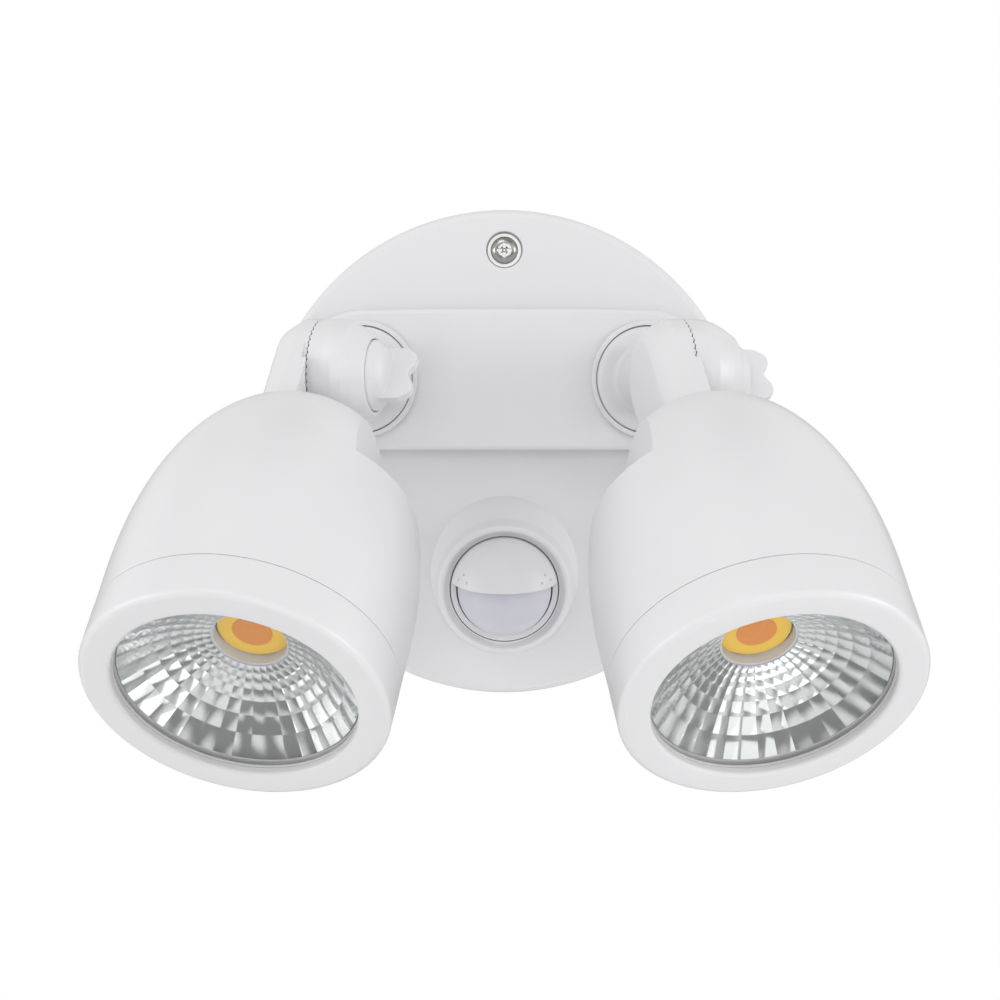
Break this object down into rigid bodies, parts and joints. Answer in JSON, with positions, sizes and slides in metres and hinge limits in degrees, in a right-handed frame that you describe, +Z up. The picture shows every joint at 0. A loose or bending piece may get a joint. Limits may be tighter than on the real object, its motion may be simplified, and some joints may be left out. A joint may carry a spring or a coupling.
{
  "type": "motion sensor security light",
  "caption": "Wall light with a round base, a dome motion sensor with a turning hood, and lamp heads on swivel arms with toothed tilt hinges and wing nuts.",
  "frame": {"origin": "centre of the round mounting face, on the wall", "axes": "+Z up, +Y into the wall, so the light stands out towards -Y; +X to the right seen from the front"},
  "size_m": [0.2696, 0.188, 0.197],
  "materials": {
    "white_powder_coat": "satin white powder coat on die-cast aluminium",
    "white_plastic": "fine satin white ABS",
    "mirror_reflector": "bright faceted mirror",
    "clear_glass": "clear tempered glass",
    "grey_silicone": "matte grey",
    "black_rubber": "matte black",
    "phosphor": "yellow phosphor gel",
    "led_substrate": "white-coated aluminium board",
    "white_pbt": "heat-proof white plastic",
    "heat_sink_aluminium": "plain extruded",
    "stainless_steel": "plain",
    "zinc_steel": "zinc plated",
    "brass": "plain",
    "milky_lens": "milky polyethylene",
    "circuit_board": "green lacquered board with parts",
    "grey_plastic": "plain",
    "nickel_can": "nickel plated"
  },
  "bodies": {
    "base": {"base_cover": "white_plastic", "rear_plate": "white_plastic", "rear_plate_screws": "stainless_steel", "rear_plate_seal": "grey_silicone", "wall_gasket": "black_rubber", "wall_bracket": "zinc_steel", "fixing_screw": "stainless_steel", "fixing_screw_washer": "stainless_steel", "cable_grommet": "black_rubber", "terminal_block": "white_pbt", "terminal_screws": "brass", "driver_case": "grey_plastic", "driver_board": "circuit_board", "sensor_lens": "milky_lens", "sensor_board": "circuit_board", "pyro_detector": "nickel_can", "control_board": "circuit_board"},
    "sensor_hood": {"sensor_hood": "white_plastic"},
    "lux_dial": {"lux_dial": "grey_plastic"},
    "time_dial": {"time_dial": "grey_plastic"},
    "range_dial": {"range_dial": "grey_plastic"},
    "left_arm": {"left_arm": "white_powder_coat", "left_arm_nut": "zinc_steel", "left_arm_washer": "zinc_steel", "left_arm_seal": "black_rubber"},
    "left_wing_nut": {"left_wing_nut": "white_plastic", "left_wing_nut_insert": "brass"},
    "left_head": {"left_hinge_stud": "stainless_steel", "left_head_housing": "white_powder_coat", "left_bezel": "white_powder_coat", "left_lens_glass": "clear_glass", "left_lens_gasket": "grey_silicone", "left_head_seal": "black_rubber", "left_reflector": "mirror_reflector", "left_led_holder": "white_pbt", "left_led_holder_screws": "stainless_steel", "left_heat_sink": "heat_sink_aluminium", "left_heat_sink_screws": "stainless_steel", "left_led_board": "led_substrate", "left_led_phosphor": "phosphor"},
    "right_arm": {"right_arm": "white_powder_coat", "right_arm_nut": "zinc_steel", "right_arm_washer": "zinc_steel", "right_arm_seal": "black_rubber"},
    "right_wing_nut": {"right_wing_nut": "white_plastic", "right_wing_nut_insert": "brass"},
    "right_head": {"right_hinge_stud": "stainless_steel", "right_head_housing": "white_powder_coat", "right_bezel": "white_powder_coat", "right_lens_glass": "clear_glass", "right_lens_gasket": "grey_silicone", "right_head_seal": "black_rubber", "right_reflector": "mirror_reflector", "right_led_holder": "white_pbt", "right_led_holder_screws": "stainless_steel", "right_heat_sink": "heat_sink_aluminium", "right_heat_sink_screws": "stainless_steel", "right_led_board": "led_substrate", "right_led_phosphor": "phosphor"}
  },
  "joints": [
    {"name": "left_arm_turn", "type": "hinge", "parent": "base", "child": "left_arm", "pos_m": [-0.0498, -0.024, 0.0249], "axis": [0.2723, 0.9622, 0], "range_deg": [-5, 90]},
    {"name": "left_head_tilt", "type": "hinge", "parent": "left_arm", "child": "left_head", "pos_m": [-0.06026, -0.06095, 0.0249], "axis": [0.9622, -0.2723, 0], "range_deg": [-60, 30]},
    {"name": "left_wing_nut_turn", "type": "hinge", "parent": "left_arm", "child": "left_wing_nut", "pos_m": [-0.06026, -0.06095, 0.0249], "axis": [0.9622, -0.2723, 0], "range_deg": [0, 360]},
    {"name": "right_arm_turn", "type": "hinge", "parent": "base", "child": "right_arm", "pos_m": [0.0498, -0.024, 0.0249], "axis": [0.2723, -0.9622, 0], "range_deg": [-5, 90]},
    {"name": "right_head_tilt", "type": "hinge", "parent": "right_arm", "child": "right_head", "pos_m": [0.06026, -0.06095, 0.0249], "axis": [0.9622, 0.2723, 0], "range_deg": [-60, 30]},
    {"name": "right_wing_nut_turn", "type": "hinge", "parent": "right_arm", "child": "right_wing_nut", "pos_m": [0.06026, -0.06095, 0.0249], "axis": [0.9622, 0.2723, 0], "range_deg": [0, 360]},
    {"name": "hood_turn", "type": "hinge", "parent": "base", "child": "sensor_hood", "pos_m": [0, -0.0205, -0.0484], "axis": [0, -0.9694, -0.2453], "range_deg": [-90, 90]},
    {"name": "lux_dial_turn", "type": "hinge", "parent": "base", "child": "lux_dial", "pos_m": [-0.014, -0.0099, -0.082], "axis": [0, 0, 1], "range_deg": [-135, 135]},
    {"name": "time_dial_turn", "type": "hinge", "parent": "base", "child": "time_dial", "pos_m": [0, -0.0099, -0.082], "axis": [0, 0, 1], "range_deg": [-135, 135]},
    {"name": "range_dial_turn", "type": "hinge", "parent": "base", "child": "range_dial", "pos_m": [0.014, -0.0099, -0.082], "axis": [0, 0, 1], "range_deg": [-135, 135]}
  ]
}
